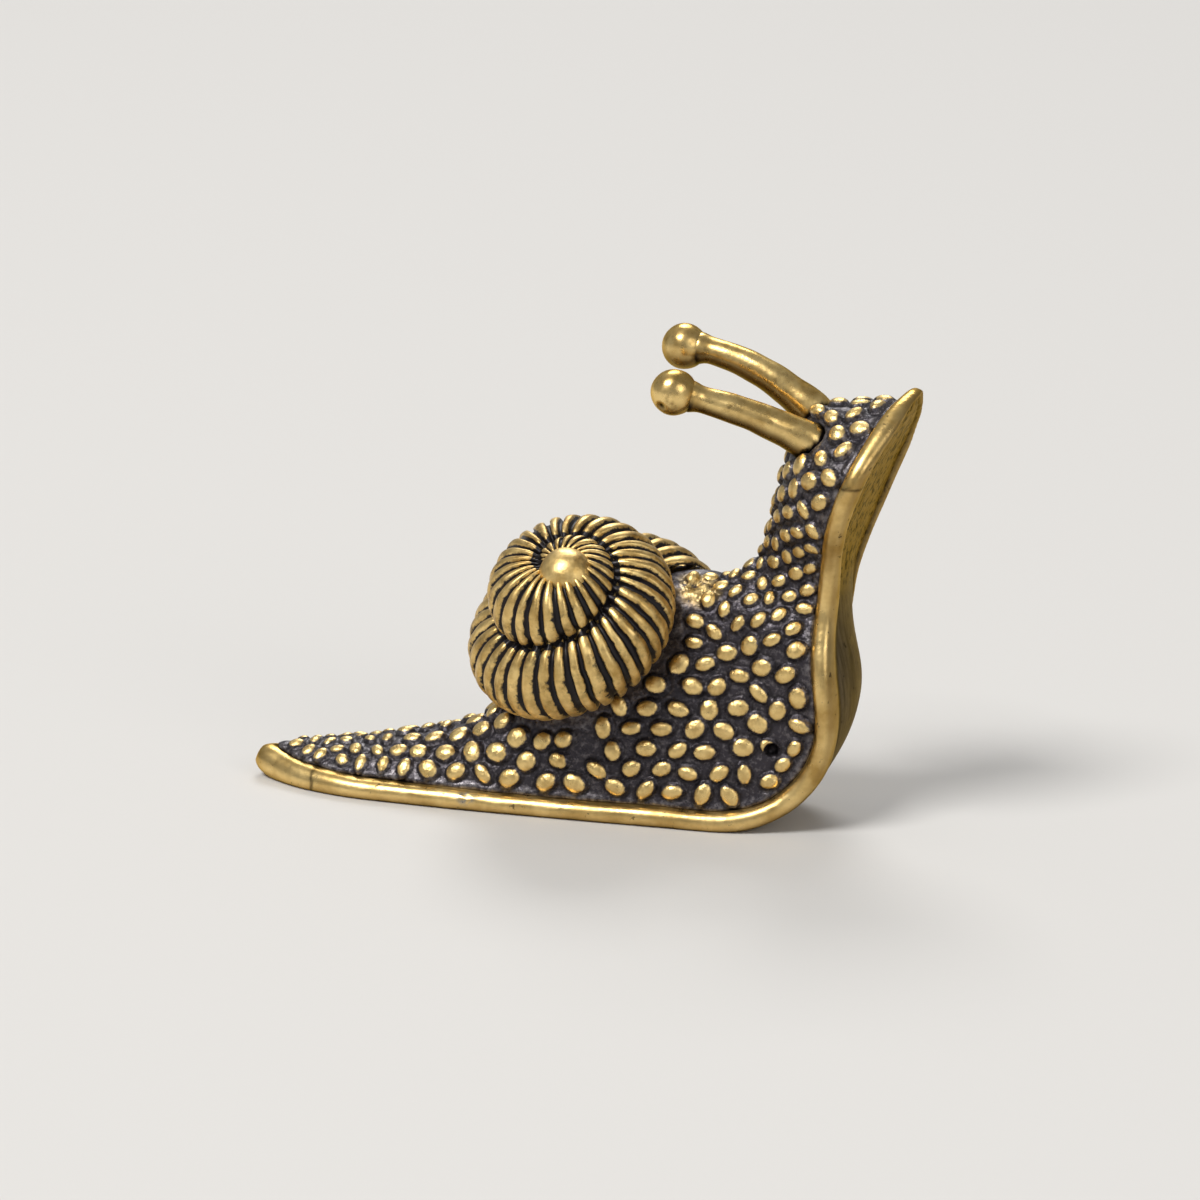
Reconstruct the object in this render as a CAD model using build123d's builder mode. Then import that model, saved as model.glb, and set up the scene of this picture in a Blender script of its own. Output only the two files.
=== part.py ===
"""Cast brass snail ornament: a foot plate, a hide casting, a ribbed spiral shell and two eye stalks.

Millimetres, +X to the head, +Y to the snail's left, +Z up. The origin lies on the ground
flat of the foot, in its mid plane, halfway along the ornament.
"""

import os
from math import atan2, cos, degrees, hypot, pi, radians, sin, sqrt

from build123d import *
from scipy.interpolate import PchipInterpolator

# Sole, seen from the side: a flat foot, a bend up the breast, a long arc up to the hood's lip
tail_reach = 19.1
foot_length = 27.4
breast_radius = 6.1
breast_turn = 96
neck_radius = 27.5
neck_turn = 38.5
sole_thickness = 1.2
ground_off = 0.12
breast_bulge = 1.25
tail_curl_radius = 9.0
tail_curl_turn = 24
section_count = 28

# Sole, seen from below: widths over the rim
tail_width = 5.0
heel_width = 7.4
foot_width = 9.1
breast_width = 9.5
bend_width = 8.0
chest_width = 8.8
neck_width = 6.0
hood_width = 10.7
breast_skew = 6
head_twist = 8

# Hide: heights of the back over the sole's middle, and the step in from the rim
tail_height = 1.6
heel_height = 2.2
rump_height = 3.7
saddle_height = 7.2
breast_height = 11.4
chest_height = 9.0
neck_height = 4.9
head_height = 4.9
crown_height = 5.5
rim_step = 0.85

# Shell: a tube that winds down from the button at the apex, with its ribs cut across it
button_setback = 8.75
button_side = -4.7
button_height = 14.9
button_radius = 1.4
shell_lean = 37.7
shell_yaw = -19.7
mouth_radius = 3.3
mouth_azimuth = 34.5
belly_turn = 115
spire_turn = 95
winding_steps = 108
rib_counts = 36, 27, 18
rib_depth = 0.11
core_radius = 0.35
core_overlap = 0.05
mantle_radius = 2.9
seat_clearance = 0.05
spigot_radius = 1.2
spigot_floor = 2.3
spigot_reach = 6.0

# Eye stalks: bent rods let into the head, with a ball on each end, placed from the hood's lip
stalk_root_radius = 1.05
stalk_tip_radius = 0.8
stalk_depth = 1.8
eye_radius = 1.3
eye_depth = 0.7
fit_clearance = 0.04
right_root = (-5.9, -1.0, -2.8)
right_eye = (-13.3, -2.6, -0.2)
right_bow = 0.28
left_root = (-6.2, 1.7, -1.5)
left_eye = (-13.6, 2.7, 1.4)
left_bow = 0.72

# Landmarks along the sole's middle line, measured from the tail's tip
breast_length = breast_radius * radians(breast_turn)
neck_length = neck_radius * radians(neck_turn)
nape = foot_length + breast_length
lip = nape + neck_length
middle_height = sole_thickness / 2 - ground_off
tail_curl = radians(tail_curl_turn)

# Width over the rim, at distances along the sole
width_law = PchipInterpolator(*zip(
    (0, 0.2 * tail_width),
    (0.4, 0.36 * tail_width),
    (1.2, 0.56 * tail_width),
    (3.0, tail_width),
    (6.5, heel_width),
    (0.65 * foot_length, foot_width),
    (foot_length, breast_width),
    (foot_length + 0.55 * breast_length, bend_width),
    (nape + 0.05 * neck_length, chest_width),
    (nape + 0.35 * neck_length, neck_width),
    (nape + 0.58 * neck_length, 0.9 * hood_width),
    (nape + 0.73 * neck_length, hood_width),
    (nape + 0.84 * neck_length, 0.8 * hood_width),
    (nape + 0.93 * neck_length, 0.5 * hood_width),
    (nape + 0.98 * neck_length, 0.25 * hood_width),
    (lip, 0.1 * hood_width),
))

# Thickness of the rim, which swells at the tail and thins out at both tips
rim_law = PchipInterpolator(*zip(
    (0, 0.8 * sole_thickness),
    (0.4, 1.3 * sole_thickness),
    (1.3, 1.55 * sole_thickness),
    (6.5, 1.15 * sole_thickness),
    (0.65 * foot_length, sole_thickness),
    (foot_length, 1.05 * sole_thickness),
    (nape, 0.95 * sole_thickness),
    (nape + 0.93 * neck_length, 0.9 * sole_thickness),
    (lip, 0.55 * sole_thickness),
))

# Height of the back over the sole's middle
height_law = PchipInterpolator(*zip(
    (0, 0.1 * tail_height),
    (2.5, tail_height),
    (6.5, heel_height),
    (0.47 * foot_length, rump_height),
    (0.65 * foot_length, saddle_height),
    (foot_length, breast_height),
    (foot_length + 0.5 * breast_length, 1.04 * breast_height),
    (nape, chest_height),
    (nape + 0.33 * neck_length, neck_height),
    (nape + 0.5 * neck_length, 0.9 * neck_height),
    (nape + 0.73 * neck_length, head_height),
    (nape + 0.93 * neck_length, crown_height),
    (lip, 0.85 * crown_height),
))

# Lean of the sections, which fan out round the neck's inner corner
lean_law = PchipInterpolator(*zip(
    (0, 0),
    (0.35 * foot_length, 0),
    (foot_length, 22),
    (nape, 45),
    (nape + 0.33 * neck_length, 70),
    (nape + 0.5 * neck_length, 84),
    (nape + 0.73 * neck_length, 90),
    (lip, 96),
))

# Bulge of the sole's outer face, which is greatest on the breast
bulge_law = PchipInterpolator(*zip(
    (0, 0.02),
    (foot_length + 0.4 * breast_length, 0.02),
    (nape + 0.06 * neck_length, breast_bulge),
    (nape + 0.4 * neck_length, 0.1 * breast_bulge),
    (lip, 0.02),
))

# Turn of the sections about the vertical: the breast to one side, the head to the other
turn_law = PchipInterpolator(*zip(
    (0, 0),
    (0.7 * foot_length, 0),
    (foot_length + 0.4 * breast_length, -breast_skew),
    (nape + 0.1 * neck_length, 0),
    (nape + 0.6 * neck_length, head_twist),
    (lip, head_twist),
))

# Sections lie close together at both tips
places = [lip * (1 - cos(pi * step / section_count)) / 2 for step in range(section_count + 1)]

with BuildLine() as sole_line:
    tail_tip = (-tail_reach, middle_height + tail_curl_radius * (1 - cos(tail_curl)))
    tail_line = JernArc(tail_tip, (cos(tail_curl), -sin(tail_curl)), tail_curl_radius, tail_curl_turn)
    foot_line = Line(tail_line @ 1, tail_line @ 1 + Vector(foot_length - tail_curl_radius * tail_curl, 0))
    breast_line = JernArc(foot_line @ 1, foot_line % 1, breast_radius, breast_turn)
    neck_line = JernArc(breast_line @ 1, breast_line % 1, neck_radius, -neck_turn)


def cross_plane(along, lean):
    """A plane across the snail at a distance along the sole: x to its left, y to its back."""
    spot = sole_line.wire().position_at(along / lip)
    twist = radians(float(turn_law(along)))
    across = Vector(sin(twist), cos(twist), 0)
    tilt = radians(lean)
    backward = Vector(-sin(tilt) * cos(twist), sin(tilt) * sin(twist), cos(tilt))
    return Plane((spot.X, 0, spot.Y), x_dir=across, z_dir=across.cross(backward))


def sole_lean(along):
    """The sole's own slope, in degrees from level."""
    direction = sole_line.wire().tangent_at(along / lip)
    return degrees(atan2(direction.Y, direction.X))


# Sole: stadium sections across the middle line, bulged outwards on the breast and ground flat below
with BuildPart() as sole:
    for along in places:
        rim = float(rim_law(along)) / 2
        reach = float(width_law(along)) / 2 - rim
        slope = sole_lean(along)
        bulge = float(bulge_law(along))
        with BuildSketch(cross_plane(along, slope)):
            with BuildLine():
                Line((-reach, rim), (reach, rim))
                CenterArc((reach, 0), rim, 90, -180)
                ThreePointArc((reach, -rim), (0, -rim - bulge), (-reach, -rim))
                CenterArc((-reach, 0), rim, 270, -180)
            make_face()
    loft()
    split(bisect_by=Plane.XY, keep=Keep.TOP)

# Winding of the shell, at turns back from its mouth: off the axis, along the axis, radius of the tube
whorl_turns = 0, 0.3, 0.7, 1.1, 1.5, 2.0, 2.5, 3.0
off_axis_law = PchipInterpolator(whorl_turns, (1.38, 1.35, 1.02, 0.74, 0.64, 0.36, 0.21, 0.15))
level_law = PchipInterpolator(whorl_turns, (-2.21, -2.05, -1.29, -0.80, -0.53, -0.26, -0.14, -0.06))
radius_law = PchipInterpolator(whorl_turns, (1.00, 0.97, 0.86, 0.83, 0.80, 0.47, 0.36, 0.26))

# Shell axis, through the button over the foot
lean = radians(shell_lean)
yaw = radians(shell_yaw)
shell_axis = Vector(sin(lean) * sin(yaw), -sin(lean) * cos(yaw), cos(lean))
button_spot = Vector((foot_line @ 1).X - button_setback, button_side, button_height)
shell_frame = Plane(button_spot, x_dir=Vector(1, 0, 0) - shell_axis * shell_axis.X, z_dir=shell_axis)


def whorl(back, trim):
    """The tube at a number of turns back from the mouth: off the axis, along the axis, radius."""
    laws = off_axis_law, level_law, radius_law
    off_axis, level, radius = (mouth_radius * float(law(back)) for law in laws)
    return off_axis, level, radius * (1 - trim)


def suture(outer, inner):
    """The outer crossing of two tube circles, as the angle on each."""
    (ax, ay, ar), (bx, by, br) = outer, inner
    gap = hypot(ax - bx, ay - by)
    along = (br * br - ar * ar + gap * gap) / (2 * gap)
    side = sqrt(br * br - along * along)
    ux, uy = (ax - bx) / gap, (ay - by) / gap
    x, y = bx + along * ux - side * uy, by + along * uy + side * ux
    return degrees(atan2(y - ay, x - ax)), degrees(atan2(y - by, x - bx))


def shell_section(back, trims):
    """Half of the shell's profile through its axis, at a number of turns back from the mouth."""
    azimuth = mouth_azimuth + 360 * back
    radial = shell_frame.x_dir.rotate(Axis((0, 0, 0), shell_frame.z_dir), azimuth)
    low, mid, top = (whorl(back + turn, trim) for turn, trim in enumerate(trims))
    low_end, mid_start = suture(low, mid)
    mid_end, top_start = suture(mid, top)
    with BuildSketch(Plane(button_spot, x_dir=radial, z_dir=radial.cross(shell_axis))) as section:
        with BuildLine():
            belly = CenterArc(low[:2], low[2], -belly_turn, belly_turn)
            shoulder = CenterArc(low[:2], low[2], 0, low_end)
            middle = CenterArc(mid[:2], mid[2], mid_start, mid_end - mid_start)
            spire = CenterArc(top[:2], top[2], top_start, spire_turn - top_start)
            roof = Line(spire @ 1, (core_radius, (spire @ 1).Y))
            floor = Line((core_radius, low[1] - 0.5 * low[2]), belly @ 0)
            Line(roof @ 1, floor @ 0)
        make_face()
    return section.sketch


def ribbed_section(step):
    """The section at one step of the winding, cut in where a groove between two ribs crosses a turn."""
    trims = [rib_depth * (step % (winding_steps // count) == 0) for count in rib_counts]
    return shell_section(step / winding_steps, trims)


# Shell: ruled half turns whose sections step between rib and groove, a button and a spigot
mouth_reach, mouth_level, _ = whorl(0, 0)
mouth_spot = shell_frame.from_local_coords(Vector(mouth_reach, 0, mouth_level).rotate(Axis.Z, mouth_azimuth))
spigot_spot = button_spot - shell_axis * spigot_reach
with BuildPart() as shell:
    for first in (0, winding_steps // 2):
        loft([ribbed_section(step) for step in range(first, first + winding_steps // 2 + 1)], ruled=True)
    with BuildSketch(Plane(button_spot, z_dir=-shell_axis)):
        Circle(core_radius + core_overlap)
    extrude(amount=spigot_reach)
    with Locations(button_spot):
        Sphere(button_radius)
    with BuildSketch(Plane.XY.offset(spigot_floor)):
        with Locations((spigot_spot.X, spigot_spot.Y)):
            Circle(spigot_radius)
    extrude(amount=spigot_spot.Z - spigot_floor)

# Shell seat: the same winding without grooves, a clearance larger all round and past the mouth
seat_start = -seat_clearance / (2 * pi * mouth_reach)
with BuildPart() as seat:
    for first in (0, 12):
        steps = [seat_start + step / 24 for step in range(first, first + 13)]
        loft([shell_section(step, 3 * [-seat_clearance / mouth_radius]) for step in steps])
    with BuildSketch(Plane.XY.offset(spigot_floor - seat_clearance)):
        with Locations((spigot_spot.X, spigot_spot.Y)):
            Circle(spigot_radius + seat_clearance)
    extrude(amount=spigot_spot.Z - spigot_floor)


def stalk_line(root, eye, bow):
    """The stalk's middle line, bowed upwards between its root and the middle of the eye."""
    lip_spot = Vector((neck_line @ 1).X, 0, (neck_line @ 1).Y)
    start = lip_spot + Vector(*root)
    end = lip_spot + Vector(*eye)
    middle = (start + end) / 2 + Vector(0, 0, bow)
    return ThreePointArc(start, middle, end, mode=Mode.PRIVATE)


def stalk_end(line):
    """Where the rod stops inside the eye, as a share of its line."""
    return 1 - (eye_radius - eye_depth) / line.length


def stalk_rod(line):
    """A tapered rod along its line, with a straight root that goes into the head."""
    with BuildPart() as rod:
        for share in (0, 0.33, 0.67, 1):
            spot = share * stalk_end(line)
            with BuildSketch(Plane(line @ spot, z_dir=line % spot)):
                Circle(stalk_root_radius + (stalk_tip_radius - stalk_root_radius) * share)
        loft()
        with BuildSketch(Plane(line @ 0, z_dir=line % 0)):
            Circle(stalk_root_radius)
        extrude(amount=-stalk_depth)
    return rod.part


def eye_ball(line):
    """A ball with a blind hole for the end of its stalk, turned about the stalk's direction."""
    hole = stalk_tip_radius + fit_clearance
    floor = eye_depth - eye_radius + fit_clearance
    brim = -sqrt(eye_radius**2 - hole**2)
    across = (line % 1).cross(Vector(0, 0, 1))
    with BuildPart() as ball:
        with BuildSketch(Plane(line @ 1, x_dir=across, z_dir=across.cross(line % 1))):
            with BuildLine():
                Polyline((0, eye_radius), (0, floor), (hole, floor), (hole, brim))
                ThreePointArc((hole, brim), (eye_radius, 0), (0, eye_radius))
            make_face()
        revolve(axis=Axis(line @ 1, line % 1))
    return ball.part


right_line = stalk_line(right_root, right_eye, right_bow)
left_line = stalk_line(left_root, left_eye, left_bow)
eyestalk_right = stalk_rod(right_line)
eyestalk_left = stalk_rod(left_line)
eye_right = eye_ball(right_line)
eye_left = eye_ball(left_line)

# Body: arched sections from tail to crown, seated on the sole, dished for the shell, drilled for the stalks
with BuildPart() as body:
    for along in places[2:-2]:
        reach = float(width_law(along)) / 2 - min(rim_step, 0.3 * float(width_law(along)))
        height = float(height_law(along))
        with BuildSketch(cross_plane(along, float(lean_law(along)))):
            with BuildLine():
                EllipticalCenterArc((0, 0), reach, height, 0, arc_size=90)
                EllipticalCenterArc((0, 0), reach, height, 90, arc_size=90)
                Line((-reach, 0), (reach, 0))
            make_face()
    loft()
    chest = cross_plane(nape, float(lean_law(nape))).from_local_coords((0, 0.5 * chest_height, 0))
    with BuildSketch(Plane(mouth_spot, z_dir=chest - mouth_spot)):
        Circle(mantle_radius)
    with BuildSketch(Plane(chest, z_dir=chest - mouth_spot)):
        Circle(0.3 * chest_width)
    loft()
    add(sole.part, mode=Mode.SUBTRACT)
    add(seat.part, mode=Mode.SUBTRACT)
    for line in (right_line, left_line):
        with BuildSketch(Plane(line @ 0, z_dir=line % 0).offset(-stalk_depth - fit_clearance)):
            Circle(stalk_root_radius + fit_clearance)
        extrude(amount=stalk_depth + 2 * stalk_root_radius, mode=Mode.SUBTRACT)

pieces = {
    "sole": sole.part,
    "body": body.part,
    "shell": shell.part,
    "eyestalk_right": eyestalk_right,
    "eyestalk_left": eyestalk_left,
    "eye_right": eye_right,
    "eye_left": eye_left,
}
os.makedirs("parts", exist_ok=True)
for name, piece in pieces.items():
    piece.label = name
    export_step(piece, f"parts/{name}.step")
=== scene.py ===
import math
import random

import bmesh
import bpy
import numpy as np
from mathutils import Matrix, Vector, noise
from mathutils.bvhtree import BVHTree
from mathutils.kdtree import KDTree


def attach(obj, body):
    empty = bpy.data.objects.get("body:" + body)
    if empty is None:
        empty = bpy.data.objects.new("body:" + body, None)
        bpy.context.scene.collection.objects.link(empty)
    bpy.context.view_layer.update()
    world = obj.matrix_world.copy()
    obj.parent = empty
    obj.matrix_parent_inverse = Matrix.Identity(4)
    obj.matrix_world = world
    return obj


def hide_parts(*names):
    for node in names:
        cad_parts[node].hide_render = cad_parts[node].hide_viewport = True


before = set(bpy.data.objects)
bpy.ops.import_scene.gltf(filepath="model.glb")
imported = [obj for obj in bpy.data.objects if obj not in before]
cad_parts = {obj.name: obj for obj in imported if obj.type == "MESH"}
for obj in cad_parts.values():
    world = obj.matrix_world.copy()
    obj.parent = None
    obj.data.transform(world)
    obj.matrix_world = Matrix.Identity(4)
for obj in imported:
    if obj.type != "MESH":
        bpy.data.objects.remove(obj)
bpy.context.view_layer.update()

# Sole. The foot plate of the casting, with a bead rolled up all round its edge. It lies flat under
# the tail, bends up the breast and ends in the hood's lip. Handling keeps the bead bright, while
# the plate between keeps its brown tarnish and the lengthwise streaks of polishing.

# Sizes are in millimetres, and a span is where a change begins and where it is complete
MM_PER_M = 1000
SAME_POINT = 1e-7
SOLE_FACET = 0.13
SOLE_RUBS = 28
RUB_SHARE = 0.5
OFF_GROUND_SPAN = (0.05, 0.5)
BEAD_SWELL = 0.03
BEAD_UNEVEN = 0.045
LIP_SWELL = 0.19
LIP_SPAN = (20.5, 24.5)
BREAST_SPAN = (1.5, 4.0)
HOOD_SPAN = (12.5, 15.5)
LOWEST_BAND = 2
BAND_STEP = 0.4
OUTER_TILT = 0.4
OUTER_SPAN = (0.3, 0.6)
PLATE_SPAN = (0.70, 1.15)
CHEST_SINK = 0.14
HOOD_SINK = 0.32
BRIM_SHADOW_SPAN = (0.95, 1.35)
BRIM_SHADOW = 0.8
SOLE_SEAM_SPAN = (0.03, 0.16)
TAIL_HAIRLINE_X = -15.23
NECK_HAIRLINE_Z = 20.39
NECK_HAIRLINE_LOWEST = 15
HAIRLINE_SPAN = (0.027, 0.126)
HAIRLINE_WANDER = 0.12
HAIRLINE_DARK = 0.75
NEAR_SIDE_SPAN = (1.8, 2.4)
BLEMISH_PLACE = (-5.87, -4.4, 0.91)
BLEMISH_SPAN = (0.25, 0.7)
BLEMISH_DEPTH = 0.08
TURNED_OUT_SPAN = (0.05, 0.6)
TURNED_OUT_SHADE = 0.9
SOLE_UNDER_SPAN = (0.05, 0.75)
SOLE_UNDER_SHADE = 0.65
PIT_DARK = 0.7
PLATE_DULLER = 0.14
STREAK_STRETCH = (1, 6, 0.4)
NOISE_ROUGHNESS = 0.6
SEED_SHIFT = (17.3, 5.1, 9.7)
PALE_BRASS = (0.88, 0.64, 0.265, 1)
DEEP_BRASS = (0.49, 0.31, 0.095, 1)
EDGE_BRASS = (0.92, 0.74, 0.42, 1)
# Brown tarnish for real stains, also laid on the sole's bead as painted shade
BROWN_TARNISH_AND_SHADE = (0.19, 0.11, 0.032, 1)
# Black patina for hollows and seams, also laid on as painted shade
BLACK_PATINA_AND_SHADE = (0.012, 0.009, 0.010, 1)
CHEST_BROWN = (0.155, 0.12, 0.074, 1)
CHEST_STREAK = (0.085, 0.066, 0.041, 1)
HOOD_OLIVE = (0.24, 0.15, 0.036, 1)
HOOD_SPECK = (0.030, 0.018, 0.006, 1)
BLEMISH_GREY = (0.30, 0.29, 0.28, 1)


def set_out(shape, name):
    """Sets a modelled shape out in the scene as a piece."""
    mesh = bpy.data.meshes.new(name)
    shape.to_mesh(mesh)
    shape.free()
    piece = bpy.data.objects.new(name, mesh)
    bpy.context.scene.collection.objects.link(piece)
    return piece


def recast(node_name, piece_name, facet, rubs):
    """A CAD solid cast again as one even skin of small facets, in millimetres, rubbed smooth."""
    skin = bmesh.new()
    skin.from_mesh(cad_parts[node_name].data)
    bmesh.ops.remove_doubles(skin, verts=skin.verts, dist=SAME_POINT)
    bmesh.ops.scale(skin, vec=(MM_PER_M, MM_PER_M, MM_PER_M), verts=skin.verts)
    piece = set_out(skin, piece_name)
    casting = piece.modifiers.new("casting", "REMESH")
    casting.mode = "VOXEL"
    casting.voxel_size = facet
    rubbing = piece.modifiers.new("rubbing", "SMOOTH")
    rubbing.factor = RUB_SHARE
    rubbing.iterations = rubs
    depsgraph = bpy.context.evaluated_depsgraph_get()
    even = bpy.data.meshes.new_from_object(piece.evaluated_get(depsgraph))
    piece.modifiers.clear()
    piece.data = even
    return piece


def points_of(piece):
    """The places and the outward directions of a piece's points, in its own units."""
    count = len(piece.data.vertices)
    places = np.empty(3 * count)
    facing = np.empty(3 * count)
    piece.data.vertices.foreach_get("co", places)
    piece.data.vertices.foreach_get("normal", facing)
    return places.reshape(-1, 3), facing.reshape(-1, 3)


def finish_casting(piece, places, marks, finish, node_name):
    """Puts a casting's points in place in metres, gives it its finish and hands it to the frame."""
    piece.data.vertices.foreach_set("co", (places / MM_PER_M).ravel())
    for name, values in marks.items():
        layer = piece.data.attributes.new(name, "FLOAT", "POINT")
        layer.data.foreach_set("value", np.asarray(values, np.float32))
    piece.data.materials.append(finish)
    piece.data.update()
    piece.data.shade_smooth()
    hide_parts(node_name)
    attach(piece, "root")


def ease(values, low, high):
    """A smooth step from 0 at low to 1 at high."""
    share = np.clip((values - low) / (high - low), 0, 1)
    return share * share * (3 - 2 * share)


def waver(places, length, seed):
    """Soft unevenness between -1 and 1, with swells of about the given length."""
    shift = Vector([seed * step for step in SEED_SHIFT])
    return np.array([noise.noise(Vector(place) / length + shift) for place in places])


def distance_from(node_names, places):
    """How far each place is from the nearest of some CAD solids, in millimetres."""
    trees = []
    for name in node_names:
        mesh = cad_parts[name].data
        corners = [vertex.co * MM_PER_M for vertex in mesh.vertices]
        trees.append(BVHTree.FromPolygons(corners, [face.vertices for face in mesh.polygons]))
    return np.array([min(tree.find_nearest(place)[3] for tree in trees) for place in places])


def add_node(material, kind, sockets, **options):
    """A shader node with its options set and its sockets filled with values or other sockets."""
    made = material.node_tree.nodes.new(kind)
    for name, value in options.items():
        setattr(made, name, value)
    for name, value in sockets.items():
        if isinstance(value, bpy.types.NodeSocket):
            material.node_tree.links.new(value, made.inputs[name])
        else:
            made.inputs[name].default_value = value
    return made


def new_finish(name):
    """An empty finish: its material and its shader."""
    material = bpy.data.materials.new(name)
    material.use_nodes = True
    return material, material.node_tree.nodes["Principled BSDF"]


def own_coordinates(material):
    """The coordinates of whichever piece carries a finish."""
    return add_node(material, "ShaderNodeTexCoord", {}).outputs["Object"]


def mark_of(material, name):
    """A finish mark that the casting's points carry."""
    return add_node(material, "ShaderNodeAttribute", {}, attribute_name=name).outputs["Fac"]


def grain(material, coordinates, size, detail):
    """A grey noise whose lumps are about a size in millimetres."""
    sockets = {
        "Vector": coordinates,
        "Scale": MM_PER_M / size,
        "Detail": detail,
        "Roughness": NOISE_ROUGHNESS,
    }
    return add_node(material, "ShaderNodeTexNoise", sockets).outputs["Fac"]


def spread(material, value, low, high, start=0, end=1):
    """A value's span from low to high, stretched to run from start to end."""
    sockets = {"Value": value, "From Min": low, "From Max": high, "To Min": start, "To Max": end}
    return add_node(material, "ShaderNodeMapRange", sockets).outputs["Result"]


def blotches(material, coordinates, size, detail, low, high, start=0, end=1):
    """Soft blotches of about a size in millimetres, running from start to end."""
    return spread(material, grain(material, coordinates, size, detail), low, high, start, end)


def reckon(material, operation, first, second, held=True):
    """The sum or product of two values, held between 0 and 1 unless told otherwise."""
    sockets = {0: first, 1: second}
    made = add_node(material, "ShaderNodeMath", sockets, operation=operation, use_clamp=held)
    return made.outputs["Value"]


def blend_colours(material, share, under, over):
    """One colour laid over another by a share."""
    sockets = {0: share, 6: under, 7: over}
    return add_node(material, "ShaderNodeMix", sockets, data_type="RGBA").outputs[2]


def clouded_brass(material, coordinates, size, low=0.35, high=0.68):
    """Bare brass, clouded from pale to deep in patches of about a size in millimetres."""
    clouds = blotches(material, coordinates, size, 4, low, high)
    return blend_colours(material, clouds, PALE_BRASS, DEEP_BRASS)


def coat(material, shader, colour, gloss, texture, strength, depth):
    """Lays a colour, a gloss and a fine cast texture of a depth in millimetres on a finish."""
    sockets = {"Strength": strength, "Distance": depth / MM_PER_M, "Height": texture}
    bumps = add_node(material, "ShaderNodeBump", sockets).outputs["Normal"]
    material.node_tree.links.new(colour, shader.inputs["Base Color"])
    material.node_tree.links.new(gloss, shader.inputs["Roughness"])
    material.node_tree.links.new(bumps, shader.inputs["Normal"])


bead_brass, shader = new_finish("bead_brass")
coordinates = own_coordinates(bead_brass)
colour = clouded_brass(bead_brass, coordinates, size=2.2)
stretch = {"Vector": coordinates, "Scale": STREAK_STRETCH}
along_plate = add_node(bead_brass, "ShaderNodeMapping", stretch).outputs["Vector"]
streaks = blotches(bead_brass, along_plate, size=1.5, detail=5, low=0.38, high=0.62)
chest = blend_colours(bead_brass, streaks, CHEST_BROWN, CHEST_STREAK)
specks = blotches(bead_brass, coordinates, size=0.42, detail=3, low=0.52, high=0.58)
under_hood = blend_colours(bead_brass, specks, HOOD_OLIVE, HOOD_SPECK)
plate_colour = blend_colours(bead_brass, mark_of(bead_brass, "hood"), chest, under_hood)
plate_mark = mark_of(bead_brass, "plate")
colour = blend_colours(bead_brass, plate_mark, colour, plate_colour)
# Painted shade: the bead's downward and outward faces are browned
painted_shade = reckon(bead_brass, "MULTIPLY", mark_of(bead_brass, "under"), SOLE_UNDER_SHADE)
colour = blend_colours(bead_brass, painted_shade, colour, BROWN_TARNISH_AND_SHADE)
rough = blotches(bead_brass, coordinates, size=0.35, detail=4, low=0.42, high=0.56)
rough = reckon(bead_brass, "MULTIPLY", rough, mark_of(bead_brass, "blemish"))
colour = blend_colours(bead_brass, rough, colour, BLEMISH_GREY)
pits = blotches(bead_brass, coordinates, size=0.40, detail=2, low=0.67, high=0.73)
pits = reckon(bead_brass, "MULTIPLY", pits, PIT_DARK)
colour = blend_colours(bead_brass, pits, colour, BLACK_PATINA_AND_SHADE)
# The crease mark holds patina in the seams and hairlines, and the painted shadow along the plate's edge
colour = blend_colours(bead_brass, mark_of(bead_brass, "crease"), colour, BLACK_PATINA_AND_SHADE)
gloss = blotches(bead_brass, coordinates, size=0.8, detail=4, low=0.3, high=0.7, start=0.26, end=0.42)
duller = spread(bead_brass, plate_mark, low=0, high=1, end=PLATE_DULLER)
gloss = reckon(bead_brass, "ADD", gloss, duller)
texture = grain(bead_brass, coordinates, size=0.35, detail=4)
coat(bead_brass, shader, colour, gloss, texture, strength=0.25, depth=0.06)
shader.inputs["Metallic"].default_value = 1
shader.inputs["Specular Tint"].default_value = EDGE_BRASS

sole = recast("sole", "sole_casting", SOLE_FACET, SOLE_RUBS)
places, facing = points_of(sole)
levels = np.arange(LOWEST_BAND, places[:, 2].max(), BAND_STEP)
bands = [places[np.abs(places[:, 2] - level) < BAND_STEP, 1] for level in levels]
right_edge = np.interp(places[:, 2], levels, [band.min() for band in bands])
left_edge = np.interp(places[:, 2], levels, [band.max() for band in bands])
from_edge = np.minimum(places[:, 1] - right_edge, left_edge - places[:, 1])
from_hide = distance_from(["body"], places)

# The plate sinks between the beads, most of all under the hood, and the lip swells
outer = ease(facing[:, 0] - OUTER_TILT * facing[:, 2], *OUTER_SPAN) * ease(places[:, 2], *BREAST_SPAN)
plate = outer * ease(from_edge, *PLATE_SPAN)
lumps = BEAD_SWELL + BEAD_UNEVEN * waver(places, length=2.6, seed=1)
lumps = lumps * ease(places[:, 2], *OFF_GROUND_SPAN)
lumps = lumps + LIP_SWELL * ease(places[:, 2], *LIP_SPAN) * (1 - plate)
hood = ease(places[:, 2], *HOOD_SPAN)
sink = CHEST_SINK + (HOOD_SINK - CHEST_SINK) * hood
places = places + facing * (lumps - sink * plate)[:, None]

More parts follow.
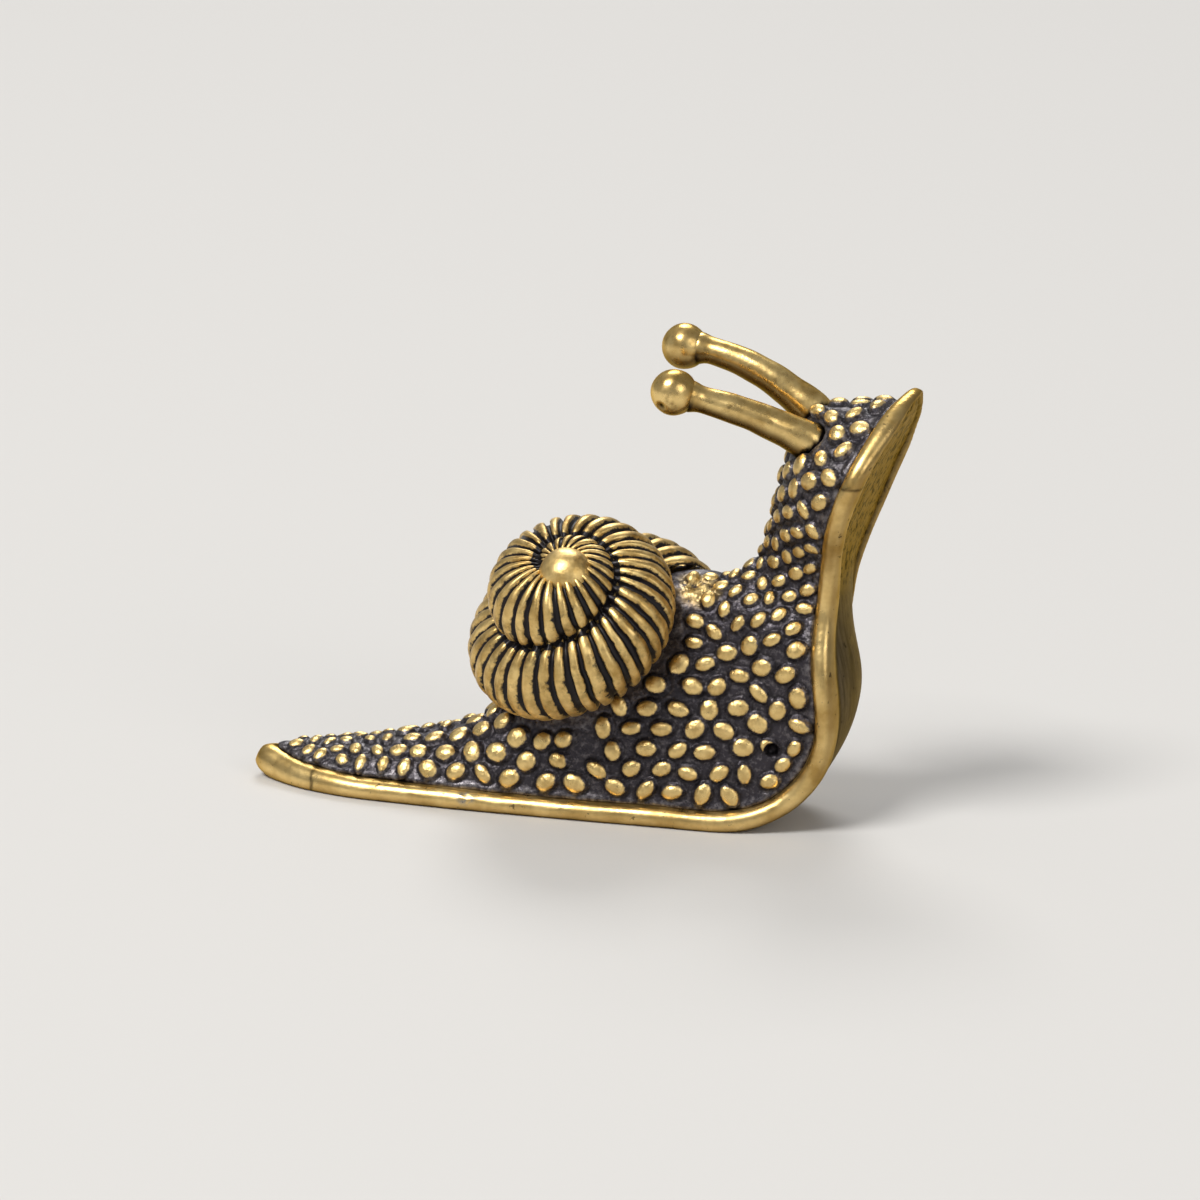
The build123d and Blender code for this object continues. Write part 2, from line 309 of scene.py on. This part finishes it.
# Patina stays in the seams and in two hairlines across the near bead, which has one rough blemish
# Painted shadow: the plate is darkened along the foot of each bead
brim_shadow = plate * (1 - ease(from_edge, *BRIM_SHADOW_SPAN))
crease = np.maximum(1 - ease(from_hide, *SOLE_SEAM_SPAN), BRIM_SHADOW * brim_shadow)
near_side = ease(-places[:, 1], *NEAR_SIDE_SPAN)
wander = HAIRLINE_WANDER * waver(places, length=0.7, seed=9)
hairlines = (
    (places[:, 0] - TAIL_HAIRLINE_X, 0),
    (places[:, 2] - NECK_HAIRLINE_Z, NECK_HAIRLINE_LOWEST),
)
for along, lowest in hairlines:
    hairline = 1 - ease(np.abs(along + wander), *HAIRLINE_SPAN)
    crease = np.maximum(crease, HAIRLINE_DARK * hairline * near_side * (places[:, 2] >= lowest))
# Painted shade: the bead's faces turned down, and on the breast its faces turned outward, are browned
turned_out_shade = TURNED_OUT_SHADE * ease(facing[:, 0], *TURNED_OUT_SPAN) * ease(places[:, 2], *BREAST_SPAN)
under = np.maximum(ease(-facing[:, 2], *SOLE_UNDER_SPAN), turned_out_shade) * (1 - plate)
blemish = 1 - ease(np.linalg.norm(places - BLEMISH_PLACE, axis=1), *BLEMISH_SPAN)
pitting = BLEMISH_DEPTH * blemish * waver(places, length=0.3, seed=10)
places = places - facing * pitting[:, None]
marks = {"plate": plate, "hood": hood, "crease": crease, "blemish": blemish, "under": under}
finish_casting(sole, places, marks, bead_brass, "sole")

# Hide. The pebbled skin of the tail, back, neck and head, cast in one with its rows of oval pebbles.
# Grey patina fills the ground between them, and the pebble tops are rubbed back to bare brass.
# One pebble on the breast burst in the mould, and the ridge before the shell is rubbed bare.
HIDE_FACET = 0.125
HIDE_RUBS = 24
TAIL_SPAN = (4, 16)
NECK_SPAN = (9.5, 14)
HEAD_SPAN = (16, 20)
FLANK_PITCH = 1.43
TAIL_PITCH = 0.90
NECK_PITCH = 1.02
HEAD_PITCH = 1.30
BARE_NEAR_SHELL = 1.1
BARE_NEAR_RIM = 0.62
BARE_NEAR_STALK = 0.72
BARE_NEAR_RUBBED = 1.2
PEBBLE_SEED = 7
ROW_UNEVEN = 0.3
ROW_GAP = 0.97
FILL_GAP = 0.81
FAR_AWAY = 9.0
NOT_FREE = -1.0
LIE_SLOPE = 0.3
LIE_STEEPER_ON_NECK = 1.2
LIE_SCATTER = 40
NEIGHBOURS = 3
WIDEST_ROOM = 1.25
LONG_HALF_SHARE = (0.48, 0.57)
LONG_HALF_MOST = 0.54
SHORT_HALF_SHARE = (0.64, 0.86)
SHORT_HALF_MOST = 0.52
PEBBLE_RISE = 0.42
PEBBLE_RISE_SHARE = (0.85, 1.1)
PEBBLE_SHOULDER = 2.3
PEBBLE_CROWN = 0.55
PEBBLE_REACH = 1.4
SAME_SIDE = 0.1
BURST_PLACE = Vector((11.3, -4.0, 4.9))
BURST_HOLE = Vector((0.16, 0, -0.17))
BURST_WIDE = 0.46
BURST_STEEP = 3
BURST_DEPTH = 0.75
BURST_DARK = 2
FOOT_RING = 1.05
FOOT_RING_WIDE = 0.16
FOOT_RING_SHADE = 0.8
RUBBED_PLACE = np.array((6.6, -1.6, 13.9))
RUBBED_SPAN = (0.7, 1.9)
RUBBED_FACING_SPAN = (0.0, 0.5)
RUBBED_UNEVEN = 0.12
GROUND_UNEVEN = 0.035
HOLLOW_DEPTH = 0.07
SKIRT = 0.16
SKIRT_SPAN = (0.1, 0.55)
SHELL_STRIP = 0.5
SHELL_STRIP_SPAN = (0.1, 0.6)
RIM_STRIP_SPAN = (0.2, 0.6)
SILVER_BY_SHELL = 0.7
SILVER_BY_RIM = 0.8
SILVER_ON_HEAD = 0.6
SILVER_ON_TAIL = 0.7
SILVER_RUBBED_OFF = 0.8
GREY_PATINA = (0.045, 0.039, 0.046, 1)
GROUND_GLINT = (0.19, 0.17, 0.175, 1)
GROUND_SILVER = (0.24, 0.22, 0.22, 1)

hide = recast("body", "hide_casting", HIDE_FACET, HIDE_RUBS)
places, facing = points_of(hide)
from_shell = distance_from(["shell"], places)
from_sole = distance_from(["sole"], places)
from_stalk = distance_from(["eyestalk_right", "eyestalk_left"], places)
from_rubbed = np.linalg.norm(places - RUBBED_PLACE, axis=1)

# Pitch of the pebbles: close on the tail and the neck, wide on the flank and the head
tail_share = ease(-places[:, 0], *TAIL_SPAN)
head_share = ease(places[:, 2], *HEAD_SPAN)
neck_share = ease(places[:, 2], *NECK_SPAN) * (1 - head_share)
pitch = FLANK_PITCH + (TAIL_PITCH - FLANK_PITCH) * tail_share
pitch = pitch + (NECK_PITCH - pitch) * neck_share + (HEAD_PITCH - pitch) * head_share

# Places of the pebbles: the burst one first, then rows from the rim upwards, then the widest gaps
draw = random.Random(PEBBLE_SEED)
free = (from_shell > BARE_NEAR_SHELL) & (from_sole > BARE_NEAR_RIM * pitch)
free = free & (from_stalk > BARE_NEAR_STALK) & (from_rubbed > BARE_NEAR_RUBBED)
rows = {int(index): from_sole[index] + draw.uniform(0, ROW_UNEVEN) for index in np.flatnonzero(free)}
order = sorted(rows, key=rows.get)
gap = np.where(free, FAR_AWAY, NOT_FREE)
chosen = []


def lay_pebble(index):
    """Takes a place for a pebble, and measures every place's gap to it in pitches."""
    chosen.append(index)
    np.minimum(gap, np.linalg.norm(places - places[index], axis=1) / pitch, out=gap)


lay_pebble(min(order, key=lambda index: (Vector(places[index]) - BURST_PLACE).length))
for index in order:
    if gap[index] > ROW_GAP:
        lay_pebble(index)
while gap.max() > FILL_GAP:
    lay_pebble(int(gap.argmax()))

# Form of each pebble: an oval that lies along the hide and fits between its neighbours
pebbles = KDTree(len(chosen))
for number, index in enumerate(chosen):
    pebbles.insert(places[index], number)
pebbles.balance()
forms = []
for index in chosen:
    outward = Vector(facing[index])
    lie = Vector((1, 0, LIE_SLOPE + LIE_STEEPER_ON_NECK * float(neck_share[index])))
    lie = (lie - outward * lie.dot(outward)).normalized()
    lie.rotate(Matrix.Rotation(math.radians(draw.gauss(0, LIE_SCATTER)), 3, outward))
    gaps = [apart for spot, number, apart in pebbles.find_n(places[index], NEIGHBOURS + 1)][1:]
    room = min(sum(gaps) / NEIGHBOURS, WIDEST_ROOM * float(pitch[index]))
    long_half = min(room * draw.uniform(*LONG_HALF_SHARE), LONG_HALF_MOST * gaps[0])
    short_half = min(long_half * draw.uniform(*SHORT_HALF_SHARE), SHORT_HALF_MOST * gaps[0])
    rise = PEBBLE_RISE * room / FLANK_PITCH * draw.uniform(*PEBBLE_RISE_SHARE)
    forms.append((outward, lie, outward.cross(lie), long_half, short_half, rise))

# Each point takes the highest pebble over it, or the hollow round the foot of the nearest ones, which is
# also darkened as painted shade
lift = np.zeros(len(places))
cap = np.zeros(len(places))
hollow_and_shade = np.zeros(len(places))
for index, place in enumerate(places):
    for spot, number, apart in pebbles.find_n(place, NEIGHBOURS):
        outward, lie, across, long_half, short_half, rise = forms[number]
        if apart > PEBBLE_REACH or outward.dot(Vector(facing[index])) < SAME_SIDE:
            continue
        offset = Vector(place) - spot
        reach = math.hypot(offset.dot(lie) / long_half, offset.dot(across) / short_half)
        dome = (1 - reach**PEBBLE_SHOULDER) ** PEBBLE_CROWN if reach < 1 else 0
        if dome > 0 and rise * dome > lift[index]:
            burst = 0
            if number == 0:
                burst = 1 - min((offset - BURST_HOLE).length / BURST_WIDE, 1) ** BURST_STEEP
            lift[index] = rise * dome - BURST_DEPTH * burst
            cap[index] = dome - BURST_DARK * burst
            hollow_and_shade[index] = burst
        elif cap[index] == 0:
            # The ring round a pebble's foot dents the ground and carries painted shade
            ring = FOOT_RING_SHADE * math.exp(-(((reach - FOOT_RING) / FOOT_RING_WIDE) ** 2))
            hollow_and_shade[index] = max(hollow_and_shade[index], ring)

# Ground between the pebbles: uneven, and drawn out along the rim to meet the bead
rubbed = (1 - ease(from_rubbed, *RUBBED_SPAN)) * ease(facing[:, 2], *RUBBED_FACING_SPAN)
ground = (GROUND_UNEVEN + RUBBED_UNEVEN * rubbed) * waver(places, length=0.6, seed=3)
ground = ground - HOLLOW_DEPTH * hollow_and_shade
skirt = SKIRT * (1 - ease(from_sole, *SKIRT_SPAN))
places = places + facing * (lift + skirt + ground * (cap <= 0))[:, None]
by_shell = SILVER_BY_SHELL * (1 - ease(np.abs(from_shell - SHELL_STRIP), *SHELL_STRIP_SPAN))
by_rim = SILVER_BY_RIM * (1 - ease(from_sole, *RIM_STRIP_SPAN))
at_ends = np.maximum(SILVER_ON_HEAD * head_share, SILVER_ON_TAIL * tail_share)
silver = np.maximum(np.maximum(by_shell, by_rim), at_ends) * (1 - SILVER_RUBBED_OFF * rubbed)

hide_patina, shader = new_finish("hide_patina")
coordinates = own_coordinates(hide_patina)
ragged = blotches(hide_patina, coordinates, size=0.35, detail=4, low=0.3, high=0.7, start=-0.12, end=0.12)
worn = reckon(hide_patina, "ADD", mark_of(hide_patina, "cap"), ragged, held=False)
worn = spread(hide_patina, worn, low=0.54, high=0.72)
patches = blotches(hide_patina, coordinates, size=0.5, detail=5, low=0.38, high=0.52)
patches = reckon(hide_patina, "MULTIPLY", patches, mark_of(hide_patina, "rubbed"))
worn = reckon(hide_patina, "ADD", worn, patches)
brass = clouded_brass(hide_patina, coordinates, size=0.9, low=0.44, high=0.82)
glints = blotches(hide_patina, coordinates, size=0.25, detail=3, low=0.50, high=0.78)
dark = blend_colours(hide_patina, glints, GREY_PATINA, GROUND_GLINT)
bright = blotches(hide_patina, coordinates, size=0.4, detail=4, low=0.45, high=0.65)
bright = reckon(hide_patina, "MULTIPLY", bright, mark_of(hide_patina, "silver"))
dark = blend_colours(hide_patina, bright, dark, GROUND_SILVER)
# Painted shade: the ring round each pebble's foot is darkened to black
dark = blend_colours(hide_patina, mark_of(hide_patina, "hollow_and_shade"), dark, BLACK_PATINA_AND_SHADE)
colour = blend_colours(hide_patina, worn, dark, brass)
gloss = blotches(hide_patina, coordinates, size=0.3, detail=4, low=0.3, high=0.7, start=0.24, end=0.44)
texture = grain(hide_patina, coordinates, size=0.28, detail=4)
coat(hide_patina, shader, colour, gloss, texture, strength=0.6, depth=0.1)
metal = spread(hide_patina, worn, low=0, high=1, start=0.7, end=1)
hide_patina.node_tree.links.new(metal, shader.inputs["Metallic"])
marks = {"cap": cap, "hollow_and_shade": hollow_and_shade, "rubbed": rubbed, "silver": silver}
finish_casting(hide, places, marks, hide_patina, "body")

# Shell. A tube wound down from the button at its apex and growing with each turn, with close ribs
# cut across it. The grooves and the seams between the turns hold black patina.
BUTTON_PLACE = Vector((-0.56, -4.70, 14.90))
BUTTON_RADIUS = 1.6
BUTTON_SAG = Vector((0.46, -0.66, -0.42))
BUTTON_UNEVEN = 0.06
BALL_FINENESS = 6
SHELL_LEAN = math.radians(37.7)
SHELL_YAW = math.radians(-19.7)
MOUTH_RADIUS = 3.3
MOUTH_AZIMUTH = math.radians(34.5)
# The winding, from the mouth back to the apex: turns, and the tube in radii of the mouth
WHORL_TURNS = (0, 0.3, 0.7, 1.1, 1.5, 2.0, 2.5, 3.0)
OFF_AXIS = (1.38, 1.35, 1.02, 0.74, 0.64, 0.36, 0.21, 0.15)
LEVELS = (-2.21, -2.05, -1.29, -0.80, -0.53, -0.26, -0.14, -0.06)
RADII = (1.00, 0.97, 0.86, 0.83, 0.80, 0.47, 0.36, 0.26)
RING_POINTS = 72
SPUN_RADIUS = 5
SPUN_ANGLE = 3.0
RIB_SEED = 11
RIBS_PER_TURN = (36, 27, 18)
# One rib: places along its pitch, and heights from the groove's floor at -1 to the top at 1
RIB_STEPS = (-0.20, -0.15, 0.0, 0.15, 0.20, 0.26, 0.34, 0.45, 0.56, 0.63, 0.68)
RIB_HEIGHTS = (0.35, -0.85, -1.00, -0.85, 0.35, 0.80, 0.96, 1.00, 0.98, 0.92, 0.76)
GROOVE_DEPTH = 0.12
GROOVE_EDGE = 0.21
GROOVE_OPENING = (0.75, 1.15)
RIB_SHIFT = 0.05
RIB_WOBBLE = 0.08
RIB_UNEVEN = 0.03
TURN_SEAM_SPAN = (0.03, 0.30)
TURN_SEAM_DEPTH = 0.10
TURN_SEAM_DARK = 1.1


def smooth_law(turns, values, wanted):
    """Values between given ones, with no overshoot: the monotone cubic that the CAD solid follows."""
    turns, values = np.array(turns, float), np.array(values, float)
    steps = np.diff(turns)
    rises = np.diff(values) / steps
    slopes = np.zeros(len(turns))
    for spot in range(1, len(turns) - 1):
        before, after = rises[spot - 1], rises[spot]
        if before * after > 0:
            near, far = 2 * steps[spot] + steps[spot - 1], steps[spot] + 2 * steps[spot - 1]
            slopes[spot] = (near + far) / (near / before + far / after)
    for tip, inward_steps, inward_rises in ((0, steps, rises), (-1, steps[::-1], rises[::-1])):
        first, second = inward_steps[:2]
        rise, next_rise = inward_rises[:2]
        slopes[tip] = ((2 * first + second) * rise - first * next_rise) / (first + second)
        if slopes[tip] * rise <= 0:
            slopes[tip] = 0
    part = np.clip(np.searchsorted(turns, wanted, side="right") - 1, 0, len(steps) - 1)
    share = (wanted - turns[part]) / steps[part]
    start, end = values[part], values[part + 1]
    return ((1 + 2 * share) * (1 - share) ** 2 * start + share**2 * (3 - 2 * share) * end
            + steps[part] * share * (1 - share) * ((1 - share) * slopes[part] - share * slopes[part + 1]))


def whorl(back):
    """The tube at numbers of turns back from the mouth: off the axis, along the axis, radius."""
    return [MOUTH_RADIUS * smooth_law(WHORL_TURNS, values, back) for values in (OFF_AXIS, LEVELS, RADII)]


def wind_tube(places, rings, points):
    """A closed tube through rings of places: a circle spun round, moved ring by ring and capped.

    A spin lists its faces in another order each time, so they are put in the order of their corners.
    """
    tube = bmesh.new()
    start = Matrix.Translation((SPUN_RADIUS, 0, 0))
    ring = bmesh.ops.create_circle(tube, segments=points, radius=1, matrix=start)
    bmesh.ops.spin(tube, geom=ring["verts"] + list(tube.edges), cent=(0, 0, 0), axis=(0, 1, 0),
                   angle=SPUN_ANGLE, steps=rings - 1, use_merge=False)
    tube.verts.ensure_lookup_table()
    for vertex, place in zip(tube.verts, places):
        vertex.co = place
    bmesh.ops.holes_fill(tube, edges=tube.edges, sides=0)
    bmesh.ops.recalc_face_normals(tube, faces=tube.faces)
    tube.verts.index_update()

    def corner_order(face):
        corners = [vertex.index for vertex in face.verts]
        return min(corners) * len(tube.verts) + max(corners)

    tube.faces.sort(key=corner_order)
    return tube


# Stations along the tube: each rib has a groove, two walls and a rounded top
draw = random.Random(RIB_SEED)
back, height = [], []
for turn, ribs in enumerate(RIBS_PER_TURN):
    for rib in range(ribs):
        shift, opening = draw.uniform(-RIB_SHIFT, RIB_SHIFT), draw.uniform(*GROOVE_OPENING)
        for step, rib_height in zip(RIB_STEPS, RIB_HEIGHTS):
            spot = step * opening if step < GROOVE_EDGE else step
            back.append(turn + (rib + spot + shift) / ribs)
            height.append(rib_height)
order = np.argsort(back)
all_turns = len(RIBS_PER_TURN)
back = np.clip(np.array(back)[order], 0, all_turns)
height = np.array(height)[order]
angle = 2 * math.pi * np.arange(RING_POINTS) / RING_POINTS
off_axis, level, radius = whorl(back)


def tube_rings(rim):
    """Where rings of given radii run: away from the axis and along it."""
    return off_axis[:, None] + rim * np.cos(angle), level[:, None] + rim * np.sin(angle)


# Seams: the tube is drawn in where it meets the turns beside it
rim = (radius * (1 + GROOVE_DEPTH * (height - 1) / 2))[:, None]
reach, along = tube_rings(rim)
seam = np.full(reach.shape, FAR_AWAY)
for turn in (-1, 1):
    beside = back + turn
    other_off, other_level, other_radius = whorl(np.clip(beside, 0, all_turns))
    apart = np.hypot(reach - other_off[:, None], along - other_level[:, None]) - other_radius[:, None]
    apart[(beside < 0) | (beside > all_turns)] = FAR_AWAY
    seam = np.minimum(seam, np.abs(apart))
seam = 1 - ease(seam, *TURN_SEAM_SPAN)
reach, along = tube_rings(rim - TURN_SEAM_DEPTH * seam)

# The ribs waver a little round the tube, and the whole winding leans out from the back
rib_pitch = 1 / np.array(RIBS_PER_TURN)[np.clip(back.astype(int), 0, all_turns - 1)]
turned = (MOUTH_AZIMUTH + 2 * math.pi * back)[:, None]
upright_tube = np.stack([np.cos(turned) * reach, np.sin(turned) * reach, along], axis=2)
wobble = waver(upright_tube.reshape(-1, 3), length=1.0, seed=12).reshape(reach.shape)
turned = turned + 2 * math.pi * RIB_WOBBLE * rib_pitch[:, None] * wobble
axis = Vector((math.sin(SHELL_LEAN) * math.sin(SHELL_YAW), -math.sin(SHELL_LEAN) * math.cos(SHELL_YAW),
               math.cos(SHELL_LEAN)))
across_x = (Vector((1, 0, 0)) - axis * axis.x).normalized()
across_y = axis.cross(across_x)
leaning_tube = (np.array(BUTTON_PLACE) + (np.cos(turned) * reach)[..., None] * np.array(across_x)
                + (np.sin(turned) * reach)[..., None] * np.array(across_y)
                + along[..., None] * np.array(axis))
winding = wind_tube(leaning_tube.reshape(-1, 3), len(back), RING_POINTS)
winding_points = len(winding.verts)
bmesh.ops.create_icosphere(winding, subdivisions=BALL_FINENESS, radius=BUTTON_RADIUS,
                           matrix=Matrix.Translation(BUTTON_PLACE + BUTTON_SAG))
shell = set_out(winding, "shell_winding")
places, facing = points_of(shell)
groove = np.zeros(len(places))
groove[:winding_points] = np.maximum((1 - height)[:, None] / 2, TURN_SEAM_DARK * seam).ravel()
lumps = RIB_UNEVEN * waver(places, length=0.8, seed=4)
lumps[winding_points:] = BUTTON_UNEVEN * waver(places[winding_points:], length=1.3, seed=6)
places = places + facing * lumps[:, None]

shell_patina, shader = new_finish("shell_patina")
coordinates = own_coordinates(shell_patina)
ragged = blotches(shell_patina, coordinates, size=0.35, detail=5, low=0.3, high=0.7, start=-0.24, end=0.24)
dark_share = reckon(shell_patina, "ADD", mark_of(shell_patina, "groove"), ragged, held=False)
uneven = blotches(shell_patina, coordinates, size=1.5, detail=2, low=0.3, high=0.7, start=-0.2, end=0.16)
dark_share = reckon(shell_patina, "ADD", dark_share, uneven, held=False)
dark_share = spread(shell_patina, dark_share, low=0.24, high=0.46)
brass = clouded_brass(shell_patina, coordinates, size=1.1)
stains = blotches(shell_patina, coordinates, size=0.8, detail=5, low=0.52, high=0.72, end=0.8)
brass = blend_colours(shell_patina, stains, brass, BROWN_TARNISH_AND_SHADE)
colour = blend_colours(shell_patina, dark_share, brass, BLACK_PATINA_AND_SHADE)
gloss = blotches(shell_patina, coordinates, size=0.5, detail=4, low=0.3, high=0.7, start=0.34, end=0.50)
texture = grain(shell_patina, coordinates, size=0.4, detail=4)
coat(shell_patina, shader, colour, gloss, texture, strength=0.4, depth=0.07)
metal = spread(shell_patina, dark_share, low=0, high=1, start=1, end=0.5)
shell_patina.node_tree.links.new(metal, shader.inputs["Metallic"])
finish_casting(shell, places, {"groove": groove}, shell_patina, "shell")

# Eye stalks. Two bent rods let into the head and soldered there, each drawn thinner towards its eye.
# They are plain bright brass, with painted shade on the underside.
STALK_POINTS = 40
STALK_RINGS = 60
STALK_START = -0.2
STALK_LENGTH = 1.16
STALK_ROOT = 1.0
STALK_TIP = 0.68
STALK_FLARE = 0.2
ROOT_FLARE = 0.5
ROOT_FLARE_LONG = 0.1
TIP_FLARE_PLACE = 0.88
TIP_FLARE_LONG = 0.055
STALK_UNEVEN = 0.05
STALK_SEAM_SPAN = (0.02, 0.2)
STALK_SHADE_WIDE = 0.6
STALK_UNDER_SHADE = 0.9
LOW_SIDE_SPAN = (-0.3, 0.5)
STALK_SHADE = (0.085, 0.047, 0.014, 1)
# A rod bows up from the straight line to its eye, and the last entry is where the painted shade on its
# underside begins
stalks = {
    "eyestalk_right": {
        "root": Vector((12.50, -1.0, 22.07)),
        "eye": Vector((5.11, -2.6, 24.67)),
        "bow": 0.28,
        "shade_from": -0.02,
    },
    "eyestalk_left": {
        "root": Vector((12.20, 1.7, 23.37)),
        "eye": Vector((4.81, 2.7, 26.27)),
        "bow": 0.72,
        "shade_from": -0.30,
    },
}

stalk_brass, shader = new_finish("stalk_brass")
coordinates = own_coordinates(stalk_brass)
colour = clouded_brass(stalk_brass, coordinates, size=1.4)
stains = blotches(stalk_brass, coordinates, size=0.8, detail=5, low=0.6, high=0.75, end=0.7)
colour = blend_colours(stalk_brass, stains, colour, BROWN_TARNISH_AND_SHADE)
# Painted shade: the underside of each rod is darkened
painted_shade = spread(stalk_brass, mark_of(stalk_brass, "under"), low=0, high=1, end=STALK_UNDER_SHADE)
colour = blend_colours(stalk_brass, painted_shade, colour, STALK_SHADE)
colour = blend_colours(stalk_brass, mark_of(stalk_brass, "crease"), colour, BLACK_PATINA_AND_SHADE)
gloss = blotches(stalk_brass, coordinates, size=0.6, detail=4, low=0.3, high=0.7, start=0.22, end=0.38)
texture = grain(stalk_brass, coordinates, size=0.5, detail=4)
coat(stalk_brass, shader, colour, gloss, texture, strength=0.3, depth=0.06)
shader.inputs["Metallic"].default_value = 1
shader.inputs["Specular Tint"].default_value = EDGE_BRASS

for name, stalk in stalks.items():
    root, eye, bow = stalk["root"], stalk["eye"], stalk["bow"]
    rod = []
    for number in range(STALK_RINGS):
        share = STALK_START + STALK_LENGTH * number / (STALK_RINGS - 1)
        bent = max(share, 0)
        middle = root.lerp(eye, share) + Vector((0, 0, 4 * bow * share * (1 - bent)))
        heading = (eye - root + Vector((0, 0, 4 * bow * (1 - 2 * bent)))).normalized()
        side = heading.cross(Vector((0, 0, 1))).normalized()
        up = side.cross(heading)
        flare = ROOT_FLARE * math.exp(-((share / ROOT_FLARE_LONG) ** 2))
        flare = flare + math.exp(-(((share - TIP_FLARE_PLACE) / TIP_FLARE_LONG) ** 2))
        thick = STALK_ROOT + (STALK_TIP - STALK_ROOT) * bent + STALK_FLARE * flare
        for step in range(STALK_POINTS):
            turn = 2 * math.pi * step / STALK_POINTS
            rod.append(middle + thick * (side * math.cos(turn) + up * math.sin(turn)))
    piece = set_out(wind_tube(rod, STALK_RINGS, STALK_POINTS), name + "_rod")
    places, facing = points_of(piece)
    places = places + facing * (STALK_UNEVEN * waver(places, length=1.3, seed=5))[:, None]
    at_root = 1 - ease(distance_from(["body"], places), *STALK_SEAM_SPAN)
    at_eye = 1 - ease(distance_from([name.replace("eyestalk", "eye")], places), *STALK_SEAM_SPAN)
    crease = np.maximum(at_root, at_eye * ease(-facing[:, 2], *LOW_SIDE_SPAN))
    # Painted shade on the underside, from the downward-facing side
    under = ease(-facing[:, 2], stalk["shade_from"], stalk["shade_from"] + STALK_SHADE_WIDE)
    marks = {"crease": crease, "under": under}
    finish_casting(piece, places, marks, stalk_brass, name)

# Eyes. A cast ball on the end of each stalk, drilled for the rod and soldered to it. Patina stays
# in the crease where the rod goes in, and the near ball has a small pit from casting.
EYE_RADIUS = 1.3
EYE_UNEVEN = 0.05
EYE_PIT = np.array((4.52, -3.65, 24.0))
EYE_PIT_SPAN = (0.05, 0.45)
EYE_PIT_DEPTH = 0.12
EYE_SEAM_SPAN = (0.04, 0.25)
EYE_SHADE_SPAN = (0.2, 0.95)
EYE_UNDER_SHADE = 0.8

for name, stalk in stalks.items():
    node_name = name.replace("eyestalk", "eye")
    ball = bmesh.new()
    bmesh.ops.create_icosphere(ball, subdivisions=BALL_FINENESS, radius=EYE_RADIUS,
                               matrix=Matrix.Translation(stalk["eye"]))
    piece = set_out(ball, node_name + "_ball")
    places, facing = points_of(piece)
    dent = 1 - ease(np.linalg.norm(places - EYE_PIT, axis=1), *EYE_PIT_SPAN)
    at_rod = 1 - ease(distance_from([name], places), *EYE_SEAM_SPAN)
    crease = np.maximum(at_rod * ease(-facing[:, 2], *LOW_SIDE_SPAN), dent)
    lumps = EYE_UNEVEN * waver(places, length=1.2, seed=8) - EYE_PIT_DEPTH * dent
    places = places + facing * lumps[:, None]
    # Painted shade: the ball's underside is darkened, starting where the rod's painted shade starts
    under = EYE_UNDER_SHADE * ease(-facing[:, 2] - stalk["shade_from"], *EYE_SHADE_SPAN)
    marks = {"crease": crease, "under": under}
    finish_casting(piece, places, marks, stalk_brass, node_name)

# Stage. A plain pale floor with a dull finish, three soft round lamps turned to the ornament, a
# little light from all round, and the camera before its right side. Sizes here are in metres.
FLOOR_HALF = 2.5
FLOOR_PALE = (0.62, 0.60, 0.57, 1)
FLOOR_DULL = 0.8
SKY_COLOUR = (0.95, 0.97, 1.0, 1)
SKY_STRENGTH = 0.32
LAMP_TARGET = Vector((0, 0, 0.012))
CAMERA_PLACE = Vector((0.04262, -0.23705, 0.07325))
CAMERA_RIGHT = Vector((0.98330, 0.18013, 0.02604))
CAMERA_UP = Vector((-0.06937, 0.23866, 0.96862))
CAMERA_BACK = Vector((0.16826, -0.95425, 0.24717))
CAMERA_LENS = 131.1
CAMERA_SENSOR = 36
CAMERA_NEAREST = 0.01
lamps = {
    "key": {"place": Vector((-0.48, -0.72, 1.14)), "width": 0.54, "power": 16.0},
    "fill": {"place": Vector((0.90, -0.75, 0.60)), "width": 0.66, "power": 2.8},
    "back": {"place": Vector((-0.15, 0.90, 0.96)), "width": 0.60, "power": 7.0},
}

floor_bed = bmesh.new()
bmesh.ops.create_grid(floor_bed, x_segments=1, y_segments=1, size=FLOOR_HALF)
floor = set_out(floor_bed, "floor")
floor_paint, shader = new_finish("floor_paint")
shader.inputs["Base Color"].default_value = FLOOR_PALE
shader.inputs["Roughness"].default_value = FLOOR_DULL
floor.data.materials.append(floor_paint)

world = bpy.data.worlds.new("studio")
world.use_nodes = True
world.node_tree.nodes["Background"].inputs["Color"].default_value = SKY_COLOUR
world.node_tree.nodes["Background"].inputs["Strength"].default_value = SKY_STRENGTH
bpy.context.scene.world = world

for name, lamp in lamps.items():
    light = bpy.data.lights.new(name, "AREA")
    light.shape = "DISK"
    light.size = lamp["width"]
    light.energy = lamp["power"]
    stand = bpy.data.objects.new(name, light)
    stand.location = lamp["place"]
    stand.rotation_euler = (LAMP_TARGET - lamp["place"]).to_track_quat("-Z", "Y").to_euler()
    bpy.context.scene.collection.objects.link(stand)

camera_data = bpy.data.cameras.new("camera")
camera_data.sensor_width = CAMERA_SENSOR
camera_data.lens = CAMERA_LENS
camera_data.clip_start = CAMERA_NEAREST
camera = bpy.data.objects.new("camera", camera_data)
camera_turn = Matrix((CAMERA_RIGHT, CAMERA_UP, CAMERA_BACK)).transposed().to_4x4()
camera.matrix_world = Matrix.Translation(CAMERA_PLACE) @ camera_turn
bpy.context.scene.collection.objects.link(camera)
bpy.context.scene.camera = camera
bpy.context.scene.view_settings.view_transform = "Standard"
